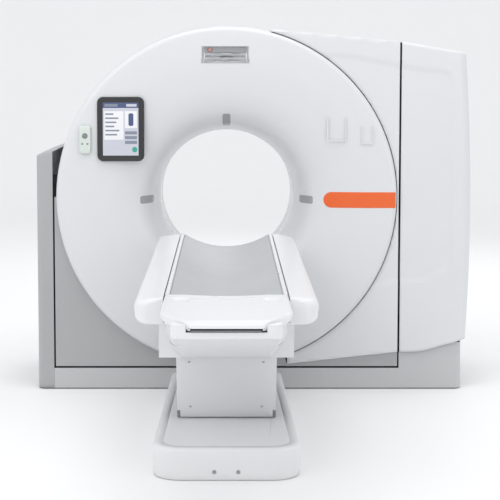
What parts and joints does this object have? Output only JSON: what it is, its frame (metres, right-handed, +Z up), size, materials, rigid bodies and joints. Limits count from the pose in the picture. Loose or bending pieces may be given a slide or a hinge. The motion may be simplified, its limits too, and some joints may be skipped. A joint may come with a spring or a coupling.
{
  "type": "ct scanner",
  "caption": "Tilting ring gantry with a round dished face and a lifting patient table whose concave top slides through the bore.",
  "frame": {"origin": "on the floor, straight under the middle of the bore", "axes": "+Z up, +Y from the table through the bore to the back of the gantry, +X to the right of a person at the table's foot end"},
  "size_m": [2.222, 3.379, 1.8558],
  "materials": {
    "cover_white": "moulded white cover, satin gloss",
    "cover_grey": "moulded light grey cover, fine texture",
    "window_film": "thin translucent ring",
    "laser_window": "smoked window",
    "tray_grey": "moulded tray",
    "button_ring": "soft-touch push button",
    "tablet_black": "black bezel",
    "screen_glass": "lit touch screen",
    "remote_pale": "pale moulded hand control",
    "badge_orange": "orange adhesive panel",
    "steel_dark": "painted structural steel",
    "bearing_steel": "ground steel",
    "rotor_alloy": "machined aluminium",
    "module_blue": "painted sheet-metal module",
    "belt_rubber": "ribbed rubber belt",
    "table_white": "moulded white cover, satin gloss",
    "cradle_grey": "coated carbon-fibre shell",
    "panel_silver": "silver painted sheet metal",
    "bellows_grey": "folded bellows cloth",
    "base_grey": "moulded base cover",
    "rail_steel": "ground rail"
  },
  "bodies": {
    "base": {"gantry_base_plate": "steel_dark", "left_stand": "steel_dark", "right_stand": "steel_dark", "trunnion_bearings": "bearing_steel", "tilt_gearmotor": "module_blue", "power_cabinet": "module_blue", "left_column_cover": "cover_grey", "front_beam_cover": "cover_grey", "rear_beam_cover": "cover_grey", "cabinet_lower_cover": "cover_grey", "cabinet_upper_cover": "cover_white", "floor_duct": "base_grey", "table_base_plate": "steel_dark", "table_base_cover": "base_grey", "lift_column_outer": "steel_dark", "column_bellows": "bellows_grey", "column_front_panel": "panel_silver"},
    "tilt_unit": {"stator_frame": "steel_dark", "left_trunnion": "bearing_steel", "right_trunnion_gear": "bearing_steel", "main_bearing_outer": "bearing_steel", "slip_ring_brushes": "tray_grey", "rotor_motor": "module_blue", "rotor_belt": "belt_rubber", "front_cover": "cover_white", "front_funnel": "cover_white", "laser_windows": "laser_window", "scan_window": "window_film", "control_tray": "tray_grey", "unit_shroud": "cover_white", "lower_front_panel": "cover_grey", "inner_right_cover": "cover_white", "rear_cover": "cover_white", "rear_funnel": "cover_white", "tablet_housing": "tablet_black", "tablet_screen": "screen_glass", "remote_control": "remote_pale", "holder_seats": "cover_white", "name_badge": "badge_orange"},
    "tilt_gear": {"tilt_pinion": "bearing_steel"},
    "rotor": {"main_bearing_inner": "bearing_steel", "rotor_drum": "rotor_alloy", "slip_ring": "rotor_alloy", "xray_tube": "module_blue", "collimator": "steel_dark", "detector_array": "module_blue", "hv_generator": "module_blue", "tube_cooler": "module_blue"},
    "drive_pulley": {"motor_pulley": "rotor_alloy"},
    "button": {"tray_button": "button_ring"},
    "column_stage": {"lift_column_middle": "steel_dark"},
    "table_body": {"lift_column_inner": "steel_dark", "table_frame": "steel_dark", "slide_rails": "rail_steel", "table_tub": "table_white", "left_wing_cover": "table_white", "right_wing_cover": "table_white", "chin_cover": "table_white"},
    "tabletop": {"patient_cradle": "cradle_grey", "foot_plate": "table_white", "tabletop_carriage": "steel_dark"},
    "roller": {"support_roller": "belt_rubber"}
  },
  "joints": [
    {"name": "gantry_tilt", "type": "hinge", "parent": "base", "child": "tilt_unit", "pos_m": [0, 0, 0.975], "axis": [-1, 0, 0], "range_deg": [-25, 25]},
    {"name": "tilt_pinion_spin", "type": "hinge", "parent": "base", "child": "tilt_gear", "pos_m": [0.97, 0, 0.7945], "axis": [-1, 0, 0], "range_deg": [-126, 126]},
    {"name": "rotor_spin", "type": "hinge", "parent": "tilt_unit", "child": "rotor", "pos_m": [0, 0.18, 0.975], "axis": [0, 1, 0], "continuous": true},
    {"name": "pulley_spin", "type": "hinge", "parent": "tilt_unit", "child": "drive_pulley", "pos_m": [-0.64, -0.02, 0.335], "axis": [0, 1, 0], "continuous": true},
    {"name": "tray_button_press", "type": "slide", "parent": "tilt_unit", "child": "button", "axis": [0, 1, 0], "range_m": [0, 0.003], "stiffness_N_per_m": 900, "springref_m": -0.001},
    {"name": "table_lift", "type": "slide", "parent": "base", "child": "table_body", "axis": [0, 0, 1], "range_m": [-0.28, 0.03], "deforming": ["column_bellows"]},
    {"name": "column_stage_slide", "type": "slide", "parent": "base", "child": "column_stage", "axis": [0, 0, 1], "range_m": [-0.141, 0.0155]},
    {"name": "tabletop_slide", "type": "slide", "parent": "table_body", "child": "tabletop", "axis": [0, 1, 0], "range_m": [0, 1.6]},
    {"name": "roller_spin", "type": "hinge", "parent": "table_body", "child": "roller", "pos_m": [0, -0.702, 0.7397], "axis": [-1, 0, 0], "range_deg": [-1, 9170]}
  ],
  "couplings": [
    {"joint": "tilt_pinion_spin", "follows": "gantry_tilt", "ratio": -5},
    {"joint": "pulley_spin", "follows": "rotor_spin", "ratio": 13.167},
    {"joint": "column_stage_slide", "follows": "table_lift", "ratio": 0.5},
    {"joint": "roller_spin", "follows": "tabletop_slide", "rad_per_m": 100}
  ]
}
